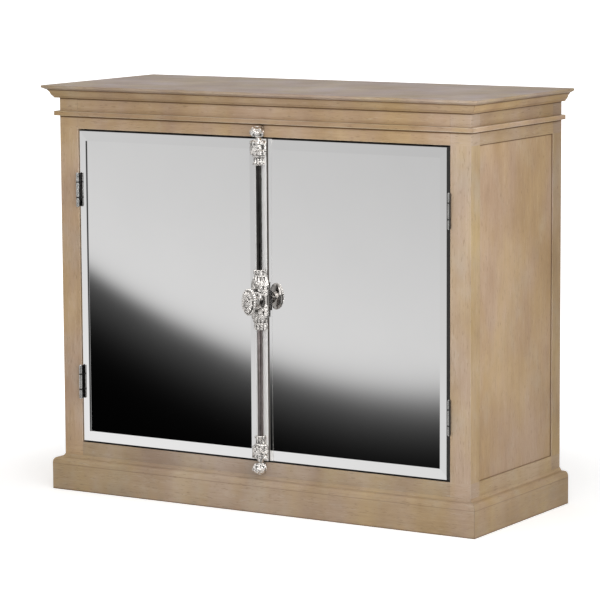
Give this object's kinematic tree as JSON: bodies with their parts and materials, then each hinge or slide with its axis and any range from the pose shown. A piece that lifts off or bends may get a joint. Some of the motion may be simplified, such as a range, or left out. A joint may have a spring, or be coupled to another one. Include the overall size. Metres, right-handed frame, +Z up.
{
  "type": "mirrored cabinet",
  "caption": "Low oak cupboard with two inset mirrored doors on butt hinges, closed by a cremone bolt with an oval knob; a shelf inside.",
  "frame": {"origin": "on the floor, below the centre of the whole object's bounding box", "axes": "+Z up; +X towards the right end as seen from the front; +Y towards the back, so the doors face -Y"},
  "size_m": [1.087, 0.47, 0.9],
  "materials": {
    "oak": "lime-washed, matt",
    "oak_plywood": "matt",
    "mirror_glass": "polished, bevelled",
    "silver": "cast and plated, polished",
    "steel": "satin"
  },
  "bodies": {
    "cabinet": {"front_left_post": "oak", "front_right_post": "oak", "rear_left_post": "oak", "rear_right_post": "oak", "front_top_rail": "oak", "front_bottom_rail": "oak", "back_top_rail": "oak", "back_bottom_rail": "oak", "left_side_top_rail": "oak", "left_side_bottom_rail": "oak", "right_side_top_rail": "oak", "right_side_bottom_rail": "oak", "left_side_panel": "oak", "right_side_panel": "oak", "back_panel": "oak_plywood", "bottom_board": "oak", "left_bearer": "oak", "right_bearer": "oak", "shelf": "oak", "front_left_shelf_pin": "steel", "front_right_shelf_pin": "steel", "rear_left_shelf_pin": "steel", "rear_right_shelf_pin": "steel", "door_stop": "oak", "magnetic_catch": "steel", "top_board": "oak", "cornice_front": "oak", "cornice_left": "oak", "cornice_right": "oak", "band_front": "oak", "band_left": "oak", "band_right": "oak", "plinth_front": "oak", "plinth_left": "oak", "plinth_right": "oak", "left_lower_hinge_frame_leaf": "steel", "left_upper_hinge_frame_leaf": "steel", "right_lower_hinge_frame_leaf": "steel", "right_upper_hinge_frame_leaf": "steel", "upper_keeper": "silver", "lower_keeper": "silver"},
    "left_door": {"left_door_core": "oak", "left_mirror": "mirror_glass", "cover_strip": "silver", "left_lower_hinge_door_leaf": "steel", "left_upper_hinge_door_leaf": "steel", "upper_guide": "silver", "lower_guide": "silver", "gearbox_plate": "steel", "gearbox_cover": "silver"},
    "right_door": {"right_door_core": "oak", "right_mirror": "mirror_glass", "catch_strike": "steel", "right_lower_hinge_door_leaf": "steel", "right_upper_hinge_door_leaf": "steel"},
    "bolt_knob": {"knob": "silver", "spindle": "steel", "pinion": "steel"},
    "bolt_upper_rod": {"upper_rod": "silver"},
    "bolt_lower_rod": {"lower_rod": "silver"}
  },
  "joints": [
    {"name": "left_door_hinge", "type": "hinge", "parent": "cabinet", "child": "left_door", "pos_m": [-0.46585, -0.1734, 0.4575], "axis": [0, 0, -1], "range_deg": [0, 170]},
    {"name": "right_door_hinge", "type": "hinge", "parent": "cabinet", "child": "right_door", "pos_m": [0.46585, -0.1734, 0.4575], "axis": [0, 0, 1], "range_deg": [0, 170]},
    {"name": "knob_turn", "type": "hinge", "parent": "left_door", "child": "bolt_knob", "pos_m": [0.0115, -0.1815, 0.4597], "axis": [0, 1, 0], "range_deg": [0, 90.05]},
    {"name": "upper_rod_slide", "type": "slide", "parent": "left_door", "child": "bolt_upper_rod", "axis": [0, 0, 1], "range_m": [0, 0.012]},
    {"name": "lower_rod_slide", "type": "slide", "parent": "left_door", "child": "bolt_lower_rod", "axis": [0, 0, -1], "range_m": [0, 0.0121]}
  ],
  "couplings": [
    {"joint": "knob_turn", "follows": "upper_rod_slide", "rad_per_m": 130.9},
    {"joint": "lower_rod_slide", "follows": "upper_rod_slide", "ratio": 1}
  ]
}
